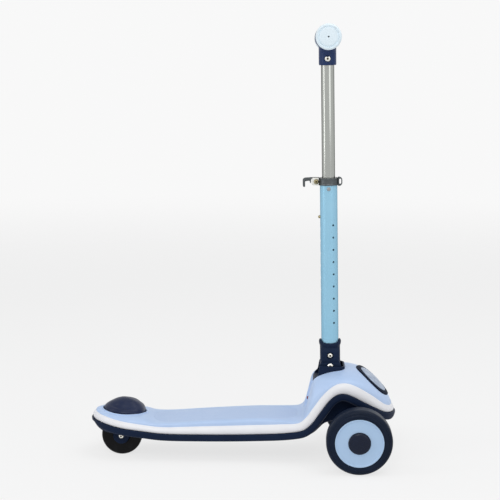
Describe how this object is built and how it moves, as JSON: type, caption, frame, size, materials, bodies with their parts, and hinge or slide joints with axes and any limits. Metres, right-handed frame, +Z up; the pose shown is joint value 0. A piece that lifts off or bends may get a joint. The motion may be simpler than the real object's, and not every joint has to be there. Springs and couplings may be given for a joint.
{
  "type": "three wheel kids scooter",
  "caption": "Child's lean-to-steer scooter with two large front wheels, a rear wheel under a foot brake, a moulded deck and a folding, height-adjustable T handlebar.",
  "frame": {"origin": "on the ground, at the middle of the overall length and width", "axes": "+X forward, +Y to the rider's left, +Z up"},
  "size_m": [0.5714, 0.3, 0.8009],
  "materials": {
    "pale_blue_plastic": "moulded plastic, satin",
    "white_plastic": "moulded plastic, satin",
    "navy_plastic": "moulded plastic, fine grain",
    "sky_paint": "powder paint, smooth",
    "grip_rubber": "soft moulded, matt",
    "bright_steel": "zinc plated",
    "chromed_steel": "polished",
    "dark_steel": "dark plated",
    "brass": "yellow zinc plated",
    "front_tyre_rubber": "cast polyurethane, satin",
    "rear_tyre_rubber": "cast polyurethane, glossy",
    "bush_rubber": "matt",
    "emblem_plastic": "glossy",
    "wheel_plastic": "moulded plastic, satin",
    "red_plastic": "glossy",
    "nylon": "natural nylon"
  },
  "bodies": {
    "deck": {"base_pan": "navy_plastic", "side_band": "white_plastic", "top_shell": "pale_blue_plastic", "stem_bezel": "navy_plastic", "emblem_ring": "navy_plastic", "emblem_disc": "emblem_plastic", "fold_bracket": "navy_plastic", "pivot_bolt": "bright_steel", "pivot_nut": "bright_steel", "kingpin": "dark_steel", "kingpin_nut": "bright_steel", "rear_axle": "bright_steel", "rear_axle_nut": "bright_steel", "brake_pin": "bright_steel", "brake_spring": "bright_steel", "pan_screw_1": "bright_steel", "pan_screw_2": "bright_steel", "pan_screw_3": "bright_steel", "pan_screw_4": "bright_steel"},
    "button": {"power_button": "red_plastic"},
    "front_truck": {"truck_beam": "dark_steel", "bush_upper": "bush_rubber", "bush_lower": "bush_rubber", "front_axle": "bright_steel", "axle_nut_left": "bright_steel", "axle_nut_right": "bright_steel"},
    "left_front_wheel": {"front_tyre_left": "front_tyre_rubber", "front_core_left": "navy_plastic", "cover_disc_left": "wheel_plastic", "hub_cap_left": "navy_plastic", "outer_bearing_left": "bright_steel", "inner_bearing_left": "bright_steel"},
    "right_front_wheel": {"front_tyre_right": "front_tyre_rubber", "front_core_right": "navy_plastic", "cover_disc_right": "wheel_plastic", "hub_cap_right": "navy_plastic", "outer_bearing_right": "bright_steel", "inner_bearing_right": "bright_steel"},
    "rear_wheel": {"rear_tyre": "rear_tyre_rubber", "rear_core": "navy_plastic", "rear_bearing_left": "bright_steel", "rear_bearing_right": "bright_steel"},
    "brake": {"brake_pedal": "navy_plastic"},
    "stem": {"stem_socket": "navy_plastic", "outer_tube": "sky_paint", "socket_bolt": "bright_steel", "socket_nut": "bright_steel", "tube_bush": "nylon", "guide_rivet": "bright_steel", "clamp_collar": "dark_steel", "clamp_bolt": "brass", "clamp_pin": "bright_steel"},
    "lever": {"clamp_lever": "dark_steel"},
    "handlebar_post": {"inner_tube": "chromed_steel", "t_bracket": "navy_plastic", "bracket_bolt": "bright_steel", "handlebar_tube": "chromed_steel", "grip_left": "grip_rubber", "grip_right": "grip_rubber"},
    "snap": {"snap_button": "brass"}
  },
  "joints": [
    {"name": "lean_steer", "type": "hinge", "parent": "deck", "child": "front_truck", "pos_m": [0.203, 0, 0.066], "axis": [0.7071, 0, 0.7071], "range_deg": [-8, 8], "stiffness_Nm_per_rad": 60},
    {"name": "left_front_spin", "type": "hinge", "parent": "front_truck", "child": "left_front_wheel", "pos_m": [0.215, 0.118, 0.06], "axis": [0, 1, 0], "continuous": true},
    {"name": "right_front_spin", "type": "hinge", "parent": "front_truck", "child": "right_front_wheel", "pos_m": [0.215, -0.118, 0.06], "axis": [0, 1, 0], "continuous": true},
    {"name": "rear_spin", "type": "hinge", "parent": "deck", "child": "rear_wheel", "pos_m": [-0.228, 0, 0.038], "axis": [0, 1, 0], "continuous": true},
    {"name": "brake_press", "type": "hinge", "parent": "deck", "child": "brake", "pos_m": [-0.195, 0, 0.0722], "axis": [0, -1, 0], "range_deg": [0, 5], "stiffness_Nm_per_rad": 3, "springref_deg": -2.86},
    {"name": "power_press", "type": "slide", "parent": "deck", "child": "button", "axis": [1, 0, 0], "range_m": [0, 0.0012], "stiffness_N_per_m": 400, "springref_m": -0.001},
    {"name": "stem_fold", "type": "hinge", "parent": "deck", "child": "stem", "pos_m": [0.1636, 0, 0.1755], "axis": [0, -1, 0], "range_deg": [0, 90]},
    {"name": "height_slide", "type": "slide", "parent": "stem", "child": "handlebar_post", "axis": [-0.0166, 0, 0.9999], "range_m": [-0.1368, 0]},
    {"name": "lever_open", "type": "hinge", "parent": "stem", "child": "lever", "pos_m": [0.13544, 0.0105, 0.51683], "axis": [0.0166, 0, -0.9999], "range_deg": [0, 95]},
    {"name": "snap_press", "type": "slide", "parent": "handlebar_post", "child": "snap", "axis": [0.9999, 0, 0.0166], "range_m": [0, 0.0045], "stiffness_N_per_m": 200, "springref_m": -0.003}
  ]
}
